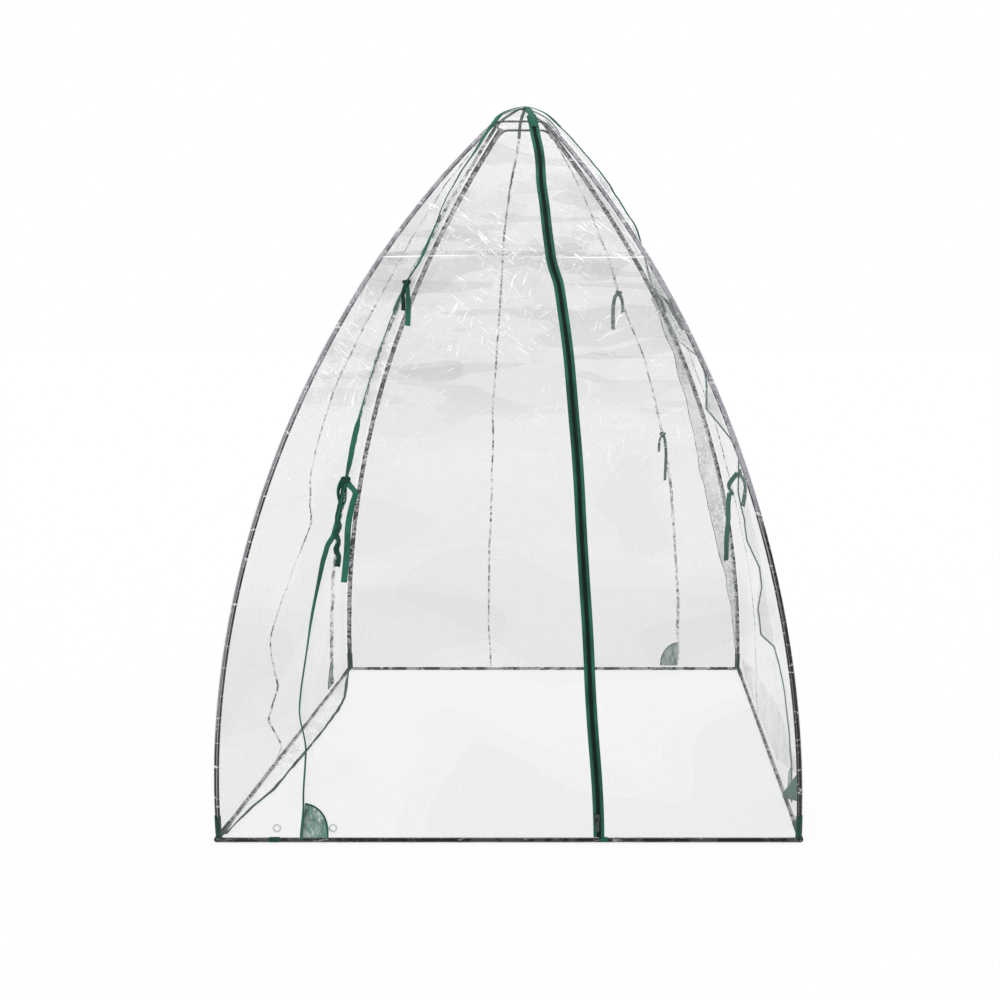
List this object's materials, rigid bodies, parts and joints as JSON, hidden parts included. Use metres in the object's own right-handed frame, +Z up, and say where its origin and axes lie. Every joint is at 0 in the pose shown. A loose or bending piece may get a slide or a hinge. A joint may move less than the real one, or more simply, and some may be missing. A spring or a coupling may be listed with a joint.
{
  "type": "pop-up greenhouse",
  "caption": "Free-standing domed square plant shelter: clear film cover on curved spring-rod hoops, green seam tapes and ties, and a zipped front door that swings open.",
  "frame": {"origin": "centre of the square base, on the ground", "axes": "+Z up, the zipped door faces -Y, +X is to the right of a person who faces the door"},
  "size_m": [1.4042, 1.4088, 1.801],
  "materials": {
    "rod": "glossy dark grey rod",
    "ferrule": "plain steel tube",
    "clear_sleeve": "clear grey film tube",
    "lashing": "dark green woven tape",
    "film": "clear glossy film with fine wrinkles",
    "clear_ring": "clear moulded ring",
    "tape": "green woven tape",
    "patch": "green woven patch",
    "zip_tape": "dark green tape with a black coil",
    "zip_metal": "dark coated metal"
  },
  "bodies": {
    "frame_and_cover": {"hoop_front": "rod", "base_sleeve_front": "clear_sleeve", "splice_ferrule_front": "ferrule", "tie_seam_front": "tape", "hoop_right": "rod", "base_sleeve_right": "clear_sleeve", "splice_ferrule_right": "ferrule", "tie_seam_right": "tape", "seam_patch_right": "patch", "right_panel": "film", "plain_seam_right": "tape", "tie_right_upper": "tape", "tie_right_lower": "tape", "hoop_back": "rod", "base_sleeve_back": "clear_sleeve", "splice_ferrule_back": "ferrule", "tie_seam_back": "tape", "seam_patch_back": "patch", "back_panel": "film", "plain_seam_back": "tape", "tie_back_upper": "tape", "tie_back_lower": "tape", "hoop_left": "rod", "base_sleeve_left": "clear_sleeve", "splice_ferrule_left": "ferrule", "tie_seam_left": "tape", "seam_patch_left": "patch", "left_panel": "film", "plain_seam_left": "tape", "tie_left_upper": "tape", "tie_left_lower": "tape", "corner_sleeve_front_right": "clear_sleeve", "corner_lashing_front_right": "lashing", "corner_panel_front_right": "film", "corner_sleeve_back_right": "clear_sleeve", "corner_lashing_back_right": "lashing", "corner_panel_back_right": "film", "corner_sleeve_back_left": "clear_sleeve", "corner_lashing_back_left": "lashing", "corner_panel_back_left": "film", "corner_sleeve_front_left": "clear_sleeve", "corner_lashing_front_left": "lashing", "corner_panel_front_left": "film", "tie_knot_front_upper": "tape", "tie_knot_front_lower": "tape", "crown_cap": "film", "crown_tape": "tape", "eyelet_left": "clear_ring", "zip_tape_fixed": "zip_tape", "zip_anchor_loop": "tape", "peg_loop": "tape"},
    "door": {"door_panel": "film", "zip_tape_door": "zip_tape", "seam_patch_front": "patch", "eyelet_right": "clear_ring", "tie_tail_front_upper": "tape", "tie_tail_front_lower": "tape"},
    "slider": {"zip_slider": "zip_metal"},
    "pull": {"zip_pull": "zip_metal"}
  },
  "joints": [
    {"name": "door_swing", "type": "hinge", "parent": "frame_and_cover", "child": "door", "pos_m": [-0.36919, -0.53193, 1], "axis": [-0.2413, -0.3447, -0.9071], "range_deg": [0, 110]},
    {"name": "zip_slider_travel", "type": "hinge", "parent": "frame_and_cover", "child": "slider", "pos_m": [-0.52255, 1.74184, 0.06], "axis": [-0.9578, -0.2873, 0], "range_deg": [0, 37.5]},
    {"name": "zip_pull_swing", "type": "hinge", "parent": "slider", "child": "pull", "pos_m": [0.21129, -0.70429, 0.062], "axis": [-0.9578, -0.2873, 0], "range_deg": [0, 150]}
  ],
  "couplings": [
    {"joint": "zip_slider_travel", "follows": "door_swing", "ratio": 0.336}
  ]
}
